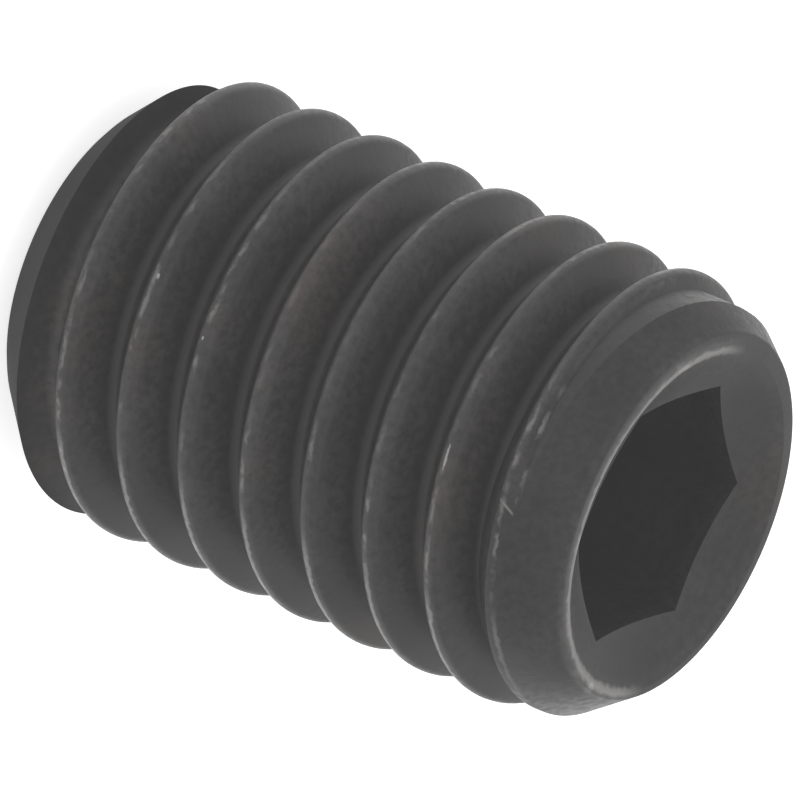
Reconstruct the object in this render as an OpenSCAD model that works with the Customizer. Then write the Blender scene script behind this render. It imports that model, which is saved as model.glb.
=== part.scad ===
// Hexagon socket grub screw with a flat point, M8 coarse thread

/* [Screw] */
// Overall length
screw_l = 11.7; // [10:0.1:16]

/* [Thread] */
// Nominal thread diameter
thread_d = 8; // [7.9:0.05:8.1]
// Crest diameter below the nominal diameter
crest_under = 0.15; // [0.05:0.01:0.24]
// Thread pitch
pitch = 1.25; // [1:0.05:1.25]
// Flank angle between the two sides of the groove
flank_angle = 60; // [58:1:62]
// Turn of the thread about the axis
thread_turn = 276; // [0:1:359]

/* [Point end] */
// Diameter of the flat point
point_d = 5.6; // [5:0.1:6]
// Angle of the point chamfer from the axis
point_angle = 45; // [40:1:60]

/* [Socket end] */
// Outer diameter of the flat rim round the socket
rim_d = 6.44; // [6.3:0.02:6.6]
// Angle of the socket end chamfer from the axis
rim_angle = 40; // [30:1:50]
// Diameter of the countersink at the rim
mouth_d = 6; // [5.4:0.02:6.1]
// Included angle of the countersink
mouth_angle = 120; // [90:1:130]

/* [Hexagon socket] */
// Width across the flats
socket_af = 4.05; // [3.9:0.01:4.2]
// Depth of the flats below the rim
socket_depth = 5; // [4:0.1:6]
// Included angle of the drilled bottom
drill_angle = 118; // [110:1:130]

/* [Hidden] */
crest_r = (thread_d - crest_under) / 2;
rim_r = rim_d / 2;
point_r = point_d / 2;
mouth_r = mouth_d / 2;
point_h = (crest_r - point_r) / tan(point_angle);
rim_h = (crest_r - rim_r) / tan(rim_angle);

socket_corner_r = socket_af / 2 / cos(30);
mouth_h = mouth_r / tan(mouth_angle / 2);
drill_h = socket_af / 2 / tan(drill_angle / 2);

// Thread groove, a 60 degree V between crest flats an eighth of the pitch wide
half_flank = flank_angle / 2;
root_r = 0.14434 * pitch;
vee_r = thread_d / 2 - 7 / 16 * pitch / tan(half_flank);
root_centre_r = vee_r + root_r / sin(half_flank);
groove_out_r = thread_d / 2 + 0.06;
groove_out_w = (groove_out_r - vee_r) * tan(half_flank);
root_steps = 4;
root_sweep = 180 - flank_angle;
groove_section = [
    [groove_out_r, -groove_out_w],
    for (i = [0:root_steps])
        let (a = root_sweep * (i / root_steps - 0.5))
        [root_centre_r - root_r * cos(a), root_r * sin(a)],
    [groove_out_r, groove_out_w],
];
section_n = len(groove_section);

// Groove path, from one pitch below the point to one pitch above the rim
turn_steps = 40;
path_n = ceil((screw_l / pitch + 2) * turn_steps);

cut_over = 1;
curve_fn = 96;

function path_point(step, p) =
    let (a = thread_turn - 360 + 360 * step / turn_steps)
    [p[0] * cos(a), p[0] * sin(a), p[1] - pitch + pitch * step / turn_steps];

module thread_groove() {
    side = [for (s = [0:path_n - 1], k = [0:section_n - 1])
        let (a = s * section_n, b = a + section_n, n = (k + 1) % section_n)
        each [[a + k, b + n, a + n], [a + k, b + k, b + n]]];
    start_cap = [for (k = [1:section_n - 2]) [0, k, k + 1]];
    last = path_n * section_n;
    end_cap = [for (k = [1:section_n - 2]) [last, last + k + 1, last + k]];
    polyhedron(
        points = [for (s = [0:path_n]) each [for (p = groove_section) path_point(s, p)]],
        faces = concat(side, start_cap, end_cap)
    );
}

module blank() {
    rotate_extrude($fn = curve_fn)
        polygon([
            [0, 0],
            [point_r, 0],
            [crest_r, point_h],
            [crest_r, screw_l - rim_h],
            [rim_r, screw_l],
            [0, screw_l],
        ]);
}

module hex_socket() {
    translate([0, 0, screw_l - socket_depth])
        linear_extrude(socket_depth + cut_over)
            circle(r = socket_corner_r, $fn = 6);
    translate([0, 0, screw_l - socket_depth - drill_h])
        cylinder(h = drill_h, r1 = 0, r2 = socket_af / 2, $fn = curve_fn);
    translate([0, 0, screw_l - mouth_h])
        cylinder(h = mouth_h + cut_over, r1 = 0,
            r2 = (mouth_h + cut_over) * tan(mouth_angle / 2), $fn = curve_fn);
}

module set_screw() {
    color("#3a3938")
        difference() {
            blank();
            hex_socket();
            thread_groove();
        }
}

set_screw();
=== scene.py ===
import math
import bpy
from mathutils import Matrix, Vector


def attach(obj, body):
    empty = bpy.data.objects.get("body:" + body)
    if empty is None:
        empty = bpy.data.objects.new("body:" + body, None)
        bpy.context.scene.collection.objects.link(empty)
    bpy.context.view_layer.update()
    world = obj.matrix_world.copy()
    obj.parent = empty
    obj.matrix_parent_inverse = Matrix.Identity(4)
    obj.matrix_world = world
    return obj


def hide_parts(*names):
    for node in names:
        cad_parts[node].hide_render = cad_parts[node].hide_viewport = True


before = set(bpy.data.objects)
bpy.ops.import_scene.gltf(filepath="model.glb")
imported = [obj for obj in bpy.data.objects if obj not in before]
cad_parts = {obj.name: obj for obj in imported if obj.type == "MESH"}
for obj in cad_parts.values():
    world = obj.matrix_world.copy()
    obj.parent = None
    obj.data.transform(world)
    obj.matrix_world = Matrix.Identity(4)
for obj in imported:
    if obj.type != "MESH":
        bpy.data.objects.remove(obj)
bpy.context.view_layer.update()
print("frame loaded")

mm = 0.001
# corners nearer than this many metres become one: on the axis, after a sweep, after all the cuts
axisGap, sweepGap, cutGap = 1e-6, 1e-7, 2e-7


def deselectAll():
    if bpy.context.object and bpy.context.object.mode != "OBJECT":
        bpy.ops.object.mode_set(mode="OBJECT")
    bpy.ops.object.select_all(action="DESELECT")


def pick(obj):
    deselectAll()
    obj.select_set(True)
    bpy.context.view_layer.objects.active = obj


def openMesh(obj, action):
    # edit mode, with every part selected or none
    pick(obj)
    bpy.ops.object.mode_set(mode="EDIT")
    bpy.ops.mesh.select_mode(type="VERT")
    bpy.ops.mesh.select_all(action=action)


def closeMesh():
    bpy.ops.object.mode_set(mode="OBJECT")


def tidyMesh(obj, gap):
    openMesh(obj, "SELECT")
    bpy.ops.mesh.remove_doubles(threshold=gap)
    bpy.ops.mesh.dissolve_degenerate(threshold=gap)
    bpy.ops.mesh.normals_make_consistent(inside=False)
    closeMesh()


def drawProfile(name, points):
    # a plane is merged to one corner, and that is pulled along the outline, edge by edge
    deselectAll()
    bpy.ops.mesh.primitive_plane_add(size=1 * mm, location=(0, 0, 0))
    obj = bpy.context.object
    obj.name = name
    openMesh(obj, "SELECT")
    bpy.ops.mesh.merge(type="CENTER")
    bpy.ops.transform.translate(value=(points[0][0] * mm, 0, points[0][1] * mm))
    for a, b in zip(points, points[1:]):
        bpy.ops.mesh.extrude_vertices_move(
            TRANSFORM_OT_translate={"value": ((b[0] - a[0]) * mm, 0, (b[1] - a[1]) * mm)})
    closeMesh()
    return obj


def sweep(obj, rise, turns, steps):
    # a profile goes round the axis, and climbs by the rise at every turn
    pick(obj)
    mod = obj.modifiers.new("sweep", "SCREW")
    mod.angle = math.radians(360)
    mod.screw_offset = rise * mm
    mod.iterations = turns
    mod.steps = steps
    mod.render_steps = steps
    mod.use_merge_vertices = rise == 0
    mod.merge_threshold = axisGap
    mod.use_smooth_shade = True
    bpy.ops.object.modifier_apply(modifier=mod.name)
    tidyMesh(obj, sweepGap)


def combine(obj, tool, how):
    pick(obj)
    mod = obj.modifiers.new("cut", "BOOLEAN")
    mod.operation = how
    mod.solver = "EXACT"
    mod.object = tool
    bpy.ops.object.modifier_apply(modifier=mod.name)
    pick(tool)
    bpy.ops.object.delete()


# sizes in millimetres and degrees, a shift as (distance, towards this angle)
thread = {
    "nominal": 8.0,
    "crest": 7.85,
    "pitch": 1.25,
    "flank": 30,              # half the groove's angle
    "veePart": 7 / 16,        # half the groove's width at the nominal diameter, part of the pitch
    "turn": 276,              # where the groove passes the height of the point
    "crestRound": 0.17,
    "crestCrown": 0.002,      # the middle of a crest stands this much above its edges
    "crownPart": 0.3,         # this part of it is gone half way to them
    "rootArc": 0.14434,       # radius of the root, part of the pitch
    "steps": 120,
}
ends = {
    "length": 11.7,
    "point": 5.6,
    "pointAngle": 45,
    "rim": 6.44,
    "mouth": 6.0,
    "edgeRound": 0.06,
    "pointRound": 0.7,        # the point's edge is rounder than the others
    "clear": 0.3,             # the blank stands this far outside the crests
    "steps": 160,
    # both ends were turned a little off the axis
    "pointShift": (0.06, 190),
    "chamferShift": (0.06, 190),
    "rimShift": (0.1, 205),
    # the last crest isn't full on one side: radius, height
    "lastCrest": ((3.95, 10.25), (3.83, 10.85)),
    "crestShift": ((0.2, 200), (0.1, 200)),
}
# a plug in the thread: the last groove isn't cut to full depth
core = {
    "radius": 3.66,
    "height": 10.6,           # from here up it has that radius
    "fade": 0.65,             # it widens over this height
    "hidden": 0.9,            # below, it lies this deep under the crests, inside the roots
    "foot": 2,
    "past": 0.5,
    "shift": (0.17, 280),
    "steps": 96,
}
socket = {
    "acrossFlats": 4.05,
    "depth": 5.0,
    "past": 1,
    "mouthAngle": 120,
    "innerAngle": 144,        # the punched hexagon drags the countersink flatter at its corners
    "drillAngle": 118,
    "drillUnder": 0.01,       # the drill is this much inside the flats
    "drillPast": 0.4,
    "drillSteps": 64,
}
smoothAngle = 35              # sharper edges than this stay sharp


def threadOutline(t):
    # one pitch of the thread, from the middle of a crest to the middle of the next
    flank, half = math.radians(t["flank"]), t["pitch"] / 2
    crest, arc = t["crest"] / 2, t["rootArc"] * t["pitch"]
    vee = t["nominal"] / 2 - t["veePart"] * t["pitch"] / math.tan(flank)
    rootCentre = vee + arc / math.sin(flank)  # the arc touches both flanks
    groove = (crest - vee) * math.tan(flank)  # half its width at the crest
    crown, r = t["crestCrown"], t["crestRound"]
    back = r * math.tan(flank)
    parts, turn = 4, 90 - t["flank"]          # both arcs end at the flank
    side = [(crest, -half), (crest - crown * t["crownPart"], -(half + groove + back) / 2)]
    for i in range(parts + 1):
        a = math.radians(turn * i / parts)
        side.append((crest - crown - r + r * math.cos(a), -(groove + back) + r * math.sin(a)))
    top, low = side[-1], (rootCentre - arc * math.sin(flank), -arc * math.cos(flank))
    for i in range(1, parts):
        k = i / parts
        side.append((top[0] + (low[0] - top[0]) * k, top[1] + (low[1] - top[1]) * k))
    for i in range(parts):
        a = math.radians(turn - turn / parts * i)
        side.append((rootCentre - arc * math.cos(a), -arc * math.sin(a)))
    other = [(x, -z) for x, z in reversed(side)]
    middle = [(rootCentre - arc, 0)]
    return side + middle + other


def roundedCorner(a, b, c, radius, parts=3):
    # points of a small arc in the corner b between a and c
    u, v = Vector(a) - Vector(b), Vector(c) - Vector(b)
    u.normalize()
    v.normalize()
    angle = u.angle(v)
    reach = radius / math.tan(angle / 2)
    start, stop = Vector(b) + u * reach, Vector(b) + v * reach
    mid = (u + v).normalized() * (radius / math.sin(angle / 2)) + Vector(b)
    pts = []
    for i in range(parts + 1):
        p = start.lerp(stop, i / parts) - mid
        pts.append(tuple(mid + p.normalized() * radius))
    return pts


def moveSideways(shift):
    amount, turn = shift[0] * mm, math.radians(shift[1])
    bpy.ops.transform.translate(value=(amount * math.cos(turn), amount * math.sin(turn), 0))


def shiftRing(blank, low, high, shift, inside=0.1):
    # the corners between two heights and outside a radius go sideways
    openMesh(blank, "DESELECT")
    closeMesh()
    for v in blank.data.vertices:
        v.select = low * mm < v.co.z < high * mm and math.hypot(v.co.x, v.co.y) > inside * mm
    bpy.ops.object.mode_set(mode="EDIT")
    moveSideways(shift)
    closeMesh()


def sweepThread(t, length):
    pitch, spare = t["pitch"], 2              # turns below the point and above the rim
    groove = pitch * ((-t["turn"] / 360) % 1)             # its height on the +X side
    screw = drawProfile("setScrewBody", [(x, z + groove - spare * pitch) for x, z in threadOutline(t)])
    sweep(screw, pitch, math.ceil(length / pitch) + 2 * spare, t["steps"])
    # both open ends are closed far outside the blank
    openMesh(screw, "DESELECT")
    bpy.ops.mesh.select_non_manifold(extend=False, use_boundary=True, use_wire=False,
                                     use_multi_face=False, use_non_contiguous=False, use_verts=False)
    bpy.ops.mesh.edge_face_add()
    bpy.ops.mesh.select_all(action="SELECT")
    bpy.ops.mesh.normals_make_consistent(inside=False)
    closeMesh()
    return screw


def turnBlank(e, s, crest, corner):
    # the form of both ends and of the countersink, which the thread is cut to
    out, mouthRadius = crest + e["clear"], e["mouth"] / 2
    pointLow, rimHigh = (e["point"] / 2, 0), (e["rim"] / 2, e["length"])
    pointOut = (out, (out - e["point"] / 2) / math.tan(math.radians(e["pointAngle"])))
    mouth, faceMiddle = (mouthRadius, e["length"]), (e["rim"] + e["mouth"]) / 4
    cornerDeep = (mouthRadius - corner) / math.tan(math.radians(s["mouthAngle"] / 2))
    innerEdge = (corner, e["length"] - cornerDeep)
    coneTip = (0, innerEdge[1] - corner / math.tan(math.radians(s["innerAngle"] / 2)))
    near = 0.05                               # rings are found this near to their height
    line = [(0, 0)]
    line += roundedCorner((0, 0), pointLow, pointOut, e["pointRound"])
    line += [pointOut, (out, e["lastCrest"][0][1] - 2 * near)] + list(e["lastCrest"])
    line += roundedCorner(e["lastCrest"][1], rimHigh, mouth, e["edgeRound"])
    line += roundedCorner(rimHigh, mouth, innerEdge, e["edgeRound"])
    line += [innerEdge, coneTip]
    blank = drawProfile("blank", line)
    sweep(blank, 0, 1, e["steps"])
    shiftRing(blank, -near, e["pointRound"] / 2, e["pointShift"])
    shiftRing(blank, pointOut[1] - near, pointOut[1] + near, e["chamferShift"])
    for (radius, height), shift in zip(e["lastCrest"], e["crestShift"]):
        shiftRing(blank, height - near, height + near, shift)
    shiftRing(blank, e["length"] - near, e["length"] + near, e["rimShift"], faceMiddle)
    return blank


def addCore(screw, c, crest, length):
    hidden, top = crest - c["hidden"], length + c["past"]
    foot = c["height"] - c["foot"]
    plug = drawProfile("core", [(0, foot), (hidden, foot), (hidden, c["height"] - c["fade"]),
                                (c["radius"], c["height"]), (c["radius"], top), (0, top)])
    sweep(plug, 0, 1, c["steps"])
    openMesh(plug, "SELECT")
    moveSideways(c["shift"])
    closeMesh()
    combine(screw, plug, "UNION")


def cutSocket(screw, s, length, corner):
    # two corners of the hexagon lie on the X axis
    deselectAll()
    bpy.ops.mesh.primitive_cylinder_add(
        vertices=6, radius=corner * mm, depth=(s["depth"] + s["past"]) * mm,
        location=(0, 0, (length - s["depth"] / 2 + s["past"] / 2) * mm), rotation=(0, 0, math.radians(90)))
    combine(screw, bpy.context.object, "DIFFERENCE")
    floorAt, flat = length - s["depth"], s["acrossFlats"] / 2
    tip = floorAt - flat / math.tan(math.radians(s["drillAngle"] / 2))
    radius, top = flat - s["drillUnder"], floorAt + s["drillPast"]
    drill = drawProfile("drill", [(0, tip), (radius, floorAt), (radius, top), (0, top)])
    sweep(drill, 0, 1, s["drillSteps"])
    combine(screw, drill, "DIFFERENCE")


def buildScrew():
    t, e, s = thread, ends, socket
    crest, corner = t["crest"] / 2, s["acrossFlats"] / 2 / math.cos(math.radians(30))
    screw = sweepThread(t, e["length"])
    blank = turnBlank(e, s, crest, corner)
    addCore(screw, core, crest, e["length"])
    combine(screw, blank, "INTERSECT")
    print("thread cut to the blank")

    cutSocket(screw, s, e["length"], corner)
    tidyMesh(screw, cutGap)
    pick(screw)
    bpy.ops.object.transform_apply(location=True, rotation=True, scale=True)
    bpy.ops.object.shade_smooth_by_angle(angle=math.radians(smoothAngle))
    print("socket cut, faces", len(screw.data.polygons))
    return screw


screw = buildScrew()
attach(screw, "root")
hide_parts("set_screw")

# lengths in millimetres, colours linear; a noise is (scale per metre, detail, roughness),
# a ramp is (where it starts, where it ends), and a tone is a factor on the colour
oxide = {
    "dark": (0.0195, 0.0187, 0.019, 1),
    "light": (0.031, 0.0292, 0.0292, 1),
    "warm": (0.037, 0.0265, 0.0225, 1),       # faint brown where the oil dried
    "warmAmount": 0.4,
    "cloudNoise": (700, 5, 0.5),
    "cloudRamp": (0.3, 0.7),
    "stainNoise": (350, 3, 0.5),
    "stainRamp": (0.52, 0.7),
    "grainNoise": (7000, 4, 0.6),
    "grainRamp": (0.3, 0.7),
    "grainTone": 0.35,
    "grainDepth": 0.012,
    "grainStrength": 0.5,
    "metallic": 0.15,
    "specular": 0.3,
    "roughness": 0.44,
    "roughSpread": 0.1,
    "roughRamp": (0.25, 0.75),
    # painted shade: the thread's root is darker in colour, but not beside the point
    "rootTone": 0.45,
    "rootRamp": (3.30, 3.55),
    "rootHeights": (2.3, 10.7),
    "rootFade": 0.6,
    # painted shade: a band beside the rim is darker in colour too
    "bandTone": 0.72,
    "bandHeights": (10.7, 11.55),
    "bandFade": 0.1,
    # painted shade: the point's chamfer is darker in colour; it is also rougher
    "pointShadeTone": 0.65,
    "pointShadeRamp": (0.95, 1.15),
    "pointRough": 0.5,
    "pointRoughRamp": (0.9, 1.5),
    # painted light: the first groove is paler in colour
    "grooveLight": 0.5,
    "grooveLightHeights": (1.25, 1.7),
    "grooveLightFade": 0.2,
}
wearAndHighlights = {
    "colour": (0.23, 0.225, 0.22, 1),         # oxide rubbed thin on the edges, and painted highlights on the crests and round the socket
    "mouthReflection": (0.42, 0.41, 0.40, 1),        # painted reflection on the socket's mouth
    "speckScale": 3000,
    "crestLine": -0.04,                       # from the middle of a crest to the line of wear and painted highlight
    "crestWidth": 0.06,
    "crestAmount": 0.38,
    "crestRamp": (3.70, 3.84),                # only this far out from the axis
    # painted highlight: one side of every crest is lighter where the light falls, from this angle round to
    # that one
    "highlitCrests": (328, 14),
    "highlightFade": 14,
    "highlightWidth": 0.07,
    "highlightAmount": 0.9,
    "highlightUnbroken": 0.6,
    # painted highlights on the narrow face round the socket and on the mouth's edge, on one side most
    "faceMiddle": 3.1,
    "faceWidth": 0.16,
    "faceAmount": 0.45,
    "faceUnbroken": 0.35,
    "mouthWidth": 0.12,
    "mouthAmount": 0.8,
    "mouthUnbroken": 0.5,
    "highlitRim": (205, 14),
    "rimHighlightFade": 18,
    "rimHighlightRamp": (11.58, 11.65),
}
# how every line of wear and of painted highlight breaks up
edge = {
    "raggedNoise": (6000, 3, 0.5),
    "ragged": 0.14,                           # how far the line strays
    "solid": 0.2,                             # part of its width without a fade
    "speckDetail": 3,
    "speckRamp": (0.44, 0.62),
    "runNoise": (420, 1, 0.5),                # long runs of more wear and of less
    "runRamp": (0.38, 0.6),
    "runLeast": 0.12,
}
# the last crest has a second bright lip and ends in a nick, angles about the axis in degrees
lip = {
    "offset": 0.16,
    "width": 0.05,
    "heightRamp": (10.1, 10.2),
    "angles": (208, 284),
    "angleFade": 6,
    "amount": 0.5,
    "nickAngle": 286.3,
    "nickHeight": 10.45,
    "nickLength": 0.34,
    "nickFade": 0.06,
    "nickLean": 9.0,                          # degrees for each millimetre up
    "nickWidth": (0.15, 0.6),
    "nickRamp": (0.35, 0.6),
}
# small bright knocks on the crests: angle, height, half length and half width
knocks = {
    "places": [(270.8, 3.11, 0.06, 0.04), (280.2, 4.33, 0.05, 0.035), (283.0, 9.36, 0.30, 0.03)],
    "ragged": (1.8, 0.6),
    "raggedRamp": (0.35, 0.65),
    "solid": 0.3,
    "amount": 0.9,
}


class Graph:
    # shorthand for the nodes of one tree; a value is a number, a colour or another node's socket
    def __init__(self, tree):
        self.tree = tree

    def add(self, kind, **values):
        node = self.tree.nodes.new(kind)
        for name, value in values.items():
            setattr(node, name, value)
        return node

    def put(self, value, given):
        if isinstance(value, bpy.types.NodeSocket):
            self.tree.links.new(value, given)
        else:
            given.default_value = value

    def math(self, how, *values):
        node = self.add("ShaderNodeMath", operation=how)
        for value, given in zip(values, node.inputs):
            self.put(value, given)
        return node.outputs[0]

    def fold(self, how, first, others):
        for other in others:
            first = self.math(how, first, other)
        return first

    def plus(self, first, *others):
        return self.fold("ADD", first, others)

    def minus(self, first, *others):
        return self.fold("SUBTRACT", first, others)

    def times(self, first, *others):
        return self.fold("MULTIPLY", first, others)

    def most(self, first, *others):
        return self.fold("MAXIMUM", first, others)

    def noise(self, place, scale, detail, rough=0.5):
        node = self.add("ShaderNodeTexNoise")
        for name, value in (("Vector", place), ("Scale", scale), ("Detail", detail), ("Roughness", rough)):
            self.put(value, node.inputs[name])
        return node.outputs["Fac"]

    def ramp(self, value, limits, start=0.0, stop=1.0):
        # goes smoothly from start to stop while the value goes from one limit to the other
        node = self.add("ShaderNodeMapRange", interpolation_type="SMOOTHSTEP")
        names = ("Value", "From Min", "From Max", "To Min", "To Max")
        for name, given in zip(names, (value, *limits, start, stop)):
            self.put(given, node.inputs[name])
        return node.outputs["Result"]

    def mix(self, factor, a, b):
        node = self.add("ShaderNodeMix", data_type="RGBA")
        for name, value in (("Factor", factor), ("A", a), ("B", b)):
            self.put(value, node.inputs[name])
        return node.outputs["Result"]

    def rising(self, value, low, fade):
        return self.ramp(value, (low - fade, low))

    def falling(self, value, high, fade):
        return self.ramp(value, (high, high + fade), 1.0, 0.0)

    def between(self, value, limits, fade):
        return self.times(self.rising(value, limits[0], fade), self.falling(value, limits[1], fade))

    def wrapAround(self, angle, limits, fade):
        # 1 from the first angle through zero to the second
        return self.most(self.rising(angle, limits[0], fade), self.falling(angle, limits[1], fade))

    def darken(self, mask, tone):
        return self.minus(1.0, self.times(mask, 1 - tone))


def makeGroup(name, inputs, outputs):
    group = bpy.data.node_groups.new(name, "ShaderNodeTree")
    for label in inputs:
        kind = "NodeSocketVector" if label == "Place" else "NodeSocketFloat"
        group.interface.new_socket(label, in_out="INPUT", socket_type=kind)
    for label in outputs:
        group.interface.new_socket(label, in_out="OUTPUT", socket_type="NodeSocketFloat")
    g = Graph(group)
    return g, g.add("NodeGroupInput").outputs, g.add("NodeGroupOutput").inputs


def makeThreadPlace(t):
    # where a point lies: mm from the axis, mm along the axis from the nearest crest, height, angle
    g, given, out = makeGroup("threadPlace", ["Place"], ["Radius", "From Crest", "Height", "Angle"])
    split = g.add("ShaderNodeSeparateXYZ")
    g.put(given["Place"], split.inputs[0])
    x, y, z = split.outputs
    square = g.plus(g.times(x, x), g.times(y, y))
    turn = g.math("FRACT", g.math("DIVIDE", g.math("ARCTAN2", y, x), 2 * math.pi))
    turns = g.plus(g.minus(g.math("DIVIDE", z, t["pitch"] * mm), turn), t["turn"] / 360)
    # whole numbers fall on the middle of the groove, halves on the crest
    part = g.minus(g.math("FRACT", turns), 0.5)
    g.put(g.times(g.math("SQRT", square), 1 / mm), out["Radius"])
    g.put(g.times(part, t["pitch"]), out["From Crest"])
    g.put(g.times(z, 1 / mm), out["Height"])
    g.put(g.times(turn, 360), out["Angle"])
    return g.tree


def makeEdgeWearAndHighlight(e):
    # 1 where an edge line is rubbed bare, and where it has a painted highlight, broken into specks and
    # dashes
    sockets = ["Place", "Distance", "Width", "Speck Scale", "Unbroken", "Amount"]
    g, given, out = makeGroup("edgeWearAndHighlight", sockets, ["Mask"])
    place = given["Place"]
    ragged = g.minus(g.noise(place, *e["raggedNoise"]), 0.5)
    distance = g.plus(given["Distance"], g.times(ragged, e["ragged"]))
    ratio = g.math("DIVIDE", g.math("ABSOLUTE", distance), given["Width"])
    line = g.ramp(ratio, (e["solid"], 1.0), 1.0, 0.0)
    specks = g.ramp(g.noise(place, given["Speck Scale"], e["speckDetail"]), e["speckRamp"])
    runs = g.ramp(g.noise(place, *e["runNoise"]), e["runRamp"], e["runLeast"], 1.0)
    broken = g.most(g.times(specks, runs), given["Unbroken"])
    g.put(g.times(line, broken, given["Amount"]), out["Mask"])
    return g.tree


def placeWearAndHighlight(g, group, place, distance, width, speck, amount, unbroken=0.0):
    node = g.add("ShaderNodeGroup", node_tree=group)
    names = ("Place", "Distance", "Width", "Speck Scale", "Unbroken", "Amount")
    for name, value in zip(names, (place, distance, width, speck, unbroken, amount)):
        g.put(value, node.inputs[name])
    return node.outputs["Mask"]


def oxideWithPaintedLight(g, o, place, fine, radius, height):
    cloud, stain = g.noise(place, *o["cloudNoise"]), g.noise(place, *o["stainNoise"])
    base = g.mix(g.ramp(cloud, o["cloudRamp"]), o["dark"], o["light"])
    base = g.mix(g.times(g.ramp(stain, o["stainRamp"]), o["warmAmount"]), base, o["warm"])
    speckle = g.ramp(fine, o["grainRamp"], 1 - o["grainTone"], 1 + o["grainTone"])
    # painted shade: the thread's root is darker in colour
    root = g.ramp(radius, o["rootRamp"], 1.0, 0.0)
    root = g.times(root, g.between(height, o["rootHeights"], o["rootFade"]))
    # painted shade: a band beside the rim is darker in colour
    band = g.between(height, o["bandHeights"], o["bandFade"])
    paintedShade = g.times(g.darken(root, o["rootTone"]), g.darken(band, o["bandTone"]))
    # painted shade: the point's chamfer is darker in colour
    point = g.ramp(height, o["pointShadeRamp"], o["pointShadeTone"], 1.0)
    # painted light: the first groove is paler in colour
    grooveLight = g.times(g.between(height, o["grooveLightHeights"], o["grooveLightFade"]), o["grooveLight"])
    tint = g.add("ShaderNodeVectorMath", operation="SCALE")
    g.put(base, tint.inputs[0])
    g.put(g.times(speckle, paintedShade, g.plus(point, grooveLight)), tint.inputs["Scale"])
    return tint.outputs[0]


def nickMask(g, n, fine, height, angle):
    # the nick leans from the crest's edge up towards the socket end
    up = g.minus(height, n["nickHeight"])
    lean = g.minus(angle, n["nickAngle"], g.times(up, n["nickLean"]))
    nick = g.ramp(g.math("ABSOLUTE", lean), n["nickWidth"], 1.0, 0.0)
    return g.times(nick, g.ramp(fine, n["nickRamp"]),
                   g.between(up, (0.0, n["nickLength"]), n["nickFade"]), n["amount"])


def knockMask(g, k, t, knock, fine, height, angle):
    # an oval along the thread with a ragged edge
    turnAt, highAt, length, width = knock
    turned = g.minus(angle, turnAt)
    along = g.times(turned, math.radians(t["crest"] / 2) / length)
    across = g.minus(height, highAt, g.times(turned, t["pitch"] / 360))
    across = g.math("DIVIDE", across, width)
    square = g.plus(g.times(along, along), g.times(across, across))
    square = g.times(square, g.ramp(fine, k["raggedRamp"], *k["ragged"]))
    return g.ramp(square, (k["solid"], 1.0), k["amount"], 0.0)


def crestWearAndHighlights(g, w, t, edges, place, fine, where):
    radius, fromCrest, height, angle = where
    speck, worn = w["speckScale"], g.minus(fromCrest, w["crestLine"])
    # crest edge lines: partly wear, partly painted highlight
    crestEdge = placeWearAndHighlight(g, edges, place, worn, w["crestWidth"], speck, w["crestAmount"])
    # painted highlight on one side of every crest
    highlitCrests = placeWearAndHighlight(g, edges, place, worn, w["highlightWidth"],
                        speck, w["highlightAmount"], w["highlightUnbroken"])
    highlitCrests = g.times(highlitCrests, g.wrapAround(angle, w["highlitCrests"], w["highlightFade"]))
    secondLip = placeWearAndHighlight(g, edges, place, g.minus(fromCrest, lip["offset"]),
                          lip["width"], speck, lip["amount"])
    secondLip = g.times(secondLip, g.between(angle, lip["angles"], lip["angleFade"]),
                        g.ramp(height, lip["heightRamp"]))
    nick = nickMask(g, lip, fine, height, angle)
    bareAndHighlit = g.most(g.most(crestEdge, highlitCrests), g.most(secondLip, nick))
    for knock in knocks["places"]:
        bareAndHighlit = g.most(bareAndHighlit, knockMask(g, knocks, t, knock, fine, height, angle))
    return g.times(bareAndHighlit, g.ramp(radius, w["crestRamp"]))


def socketHighlights(g, w, edges, place, radius, height, angle):
    # masks of the painted highlights on the narrow face and on the mouth's edge
    highlitRim = g.times(g.ramp(height, w["rimHighlightRamp"]), g.wrapAround(angle, w["highlitRim"], w["rimHighlightFade"]))
    face = placeWearAndHighlight(g, edges, place, g.minus(radius, w["faceMiddle"]),
                     w["faceWidth"], w["speckScale"], w["faceAmount"], w["faceUnbroken"])
    mouth = placeWearAndHighlight(g, edges, place, g.minus(radius, ends["mouth"] / 2),
                      w["mouthWidth"], w["speckScale"] / 2, w["mouthAmount"], w["mouthUnbroken"])
    return g.times(highlitRim, face), g.times(highlitRim, mouth)


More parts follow.
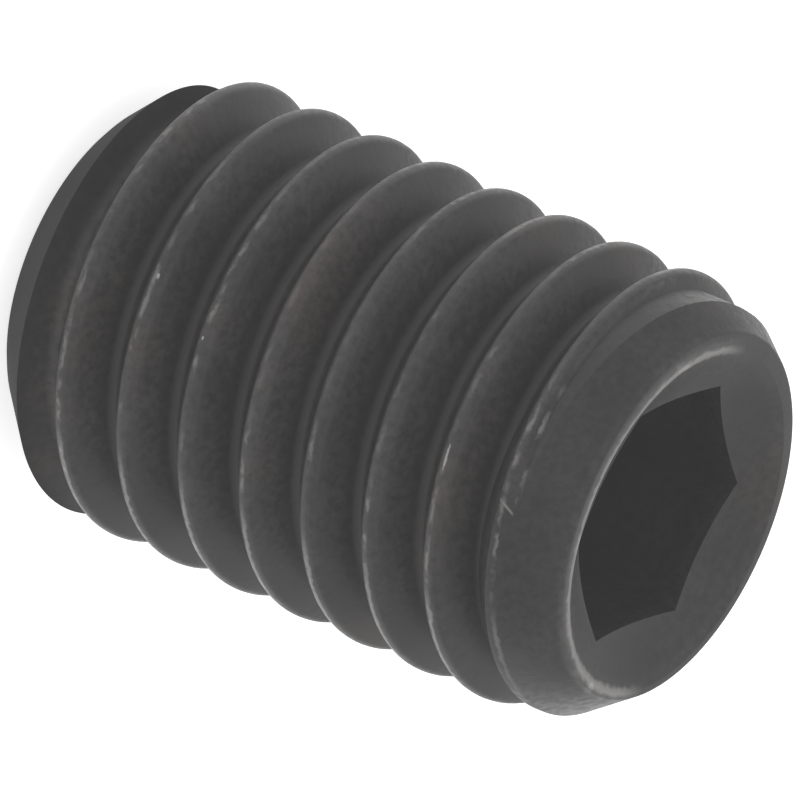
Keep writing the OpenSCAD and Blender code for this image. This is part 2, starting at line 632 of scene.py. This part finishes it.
def makeOxide(o, w, t):
    mat = bpy.data.materials.new("blackOxideSteel")
    mat.use_nodes = True
    g = Graph(mat.node_tree)
    bsdf = mat.node_tree.nodes["Principled BSDF"]
    bsdf.inputs["Metallic"].default_value = o["metallic"]
    bsdf.inputs["Specular IOR Level"].default_value = o["specular"]
    place = g.add("ShaderNodeTexCoord").outputs["Object"]
    group = g.add("ShaderNodeGroup", node_tree=makeThreadPlace(t))
    g.put(place, group.inputs["Place"])
    where = tuple(group.outputs)
    radius, _, height, angle = where
    fine = g.noise(place, *o["grainNoise"])
    base = oxideWithPaintedLight(g, o, place, fine, radius, height)

    edges = makeEdgeWearAndHighlight(edge)
    bareAndHighlit = crestWearAndHighlights(g, w, t, edges, place, fine, where)
    face, mouth = socketHighlights(g, w, edges, place, radius, height, angle)
    # the edges take one colour for wear and for painted highlights
    colour = g.mix(g.most(bareAndHighlit, face), base, w["colour"])
    # painted reflection on the socket's mouth
    g.put(g.mix(mouth, colour, w["mouthReflection"]), bsdf.inputs["Base Color"])

    smoothest, roughest = o["roughness"] - o["roughSpread"], o["roughness"] + o["roughSpread"]
    rough = g.ramp(fine, o["roughRamp"], smoothest, roughest)
    rough = g.plus(rough, g.ramp(height, o["pointRoughRamp"], o["pointRough"], 0.0))
    g.put(rough, bsdf.inputs["Roughness"])
    bump = g.add("ShaderNodeBump")
    bump.inputs["Strength"].default_value = o["grainStrength"]
    bump.inputs["Distance"].default_value = o["grainDepth"] * mm
    g.put(fine, bump.inputs["Height"])
    g.put(bump.outputs["Normal"], bsdf.inputs["Normal"])
    return mat


screw.data.materials.clear()
screw.data.materials.append(makeOxide(oxide, wearAndHighlights, thread))
print("finish made")

# metres and degrees; the screw stands on its point in the frame, and the camera is rolled until
# it lies as in the photograph
studio = {
    "floorSize": 2,
    "floor": (0.6, 0.6, 0.6, 1),
    "floorRough": 0.9,
    "white": (1, 1, 1, 1),
    "floorGlow": 0.75,        # a light table keeps the contact shadow pale
    "sky": 1.15,              # soft light from above, weaker from the sides
    "horizon": 0.75,
    "skyRamp": (0.0, 0.8),
    "veil": 0.033,            # light that the bright background spreads over the dark parts
    "lens": 1715.4,
    "sensor": 36,
    "clip": (0.01, 10),
    "cameraPlace": (0.049147, -0.550836, 0.303421),
    "cameraTurn": (-36.6721, -53.8113, 137.795),
}


def layFloor(st):
    deselectAll()
    bpy.ops.mesh.primitive_plane_add(size=st["floorSize"], location=(0, 0, 0))
    floor = bpy.context.object
    floor.name = "floor"
    mat = bpy.data.materials.new("paleFloor")
    mat.use_nodes = True
    bsdf = mat.node_tree.nodes["Principled BSDF"]
    bsdf.inputs["Base Color"].default_value = st["floor"]
    bsdf.inputs["Roughness"].default_value = st["floorRough"]
    bsdf.inputs["Emission Color"].default_value = st["white"]
    bsdf.inputs["Emission Strength"].default_value = st["floorGlow"]
    floor.data.materials.append(mat)


def lightRoom(st):
    world = bpy.data.worlds.new("softRoom")
    bpy.context.scene.world = world
    world.use_nodes = True
    g = Graph(world.node_tree)
    split = g.add("ShaderNodeSeparateXYZ")
    g.put(g.add("ShaderNodeTexCoord").outputs["Generated"], split.inputs[0])
    background = world.node_tree.nodes["Background"]
    background.inputs["Color"].default_value = st["white"]
    light = g.ramp(split.outputs["Z"], st["skyRamp"], st["horizon"], st["sky"])
    g.put(light, background.inputs["Strength"])


def placeCamera(st):
    turn = [math.radians(a) for a in st["cameraTurn"]]
    bpy.ops.object.camera_add(location=st["cameraPlace"], rotation=turn)
    camera = bpy.context.object
    camera.data.lens = st["lens"]
    camera.data.sensor_width = st["sensor"]
    camera.data.clip_start, camera.data.clip_end = st["clip"]
    bpy.context.scene.camera = camera


def veilPicture(st):
    # the curve of all three colours starts above black
    view = bpy.context.scene.view_settings
    view.view_transform = "Standard"
    view.use_curve_mapping = True
    view.curve_mapping.curves[3].points[0].location = (0, st["veil"])
    view.curve_mapping.update()


layFloor(studio)
lightRoom(studio)
placeCamera(studio)
veilPicture(studio)
print("studio ready")
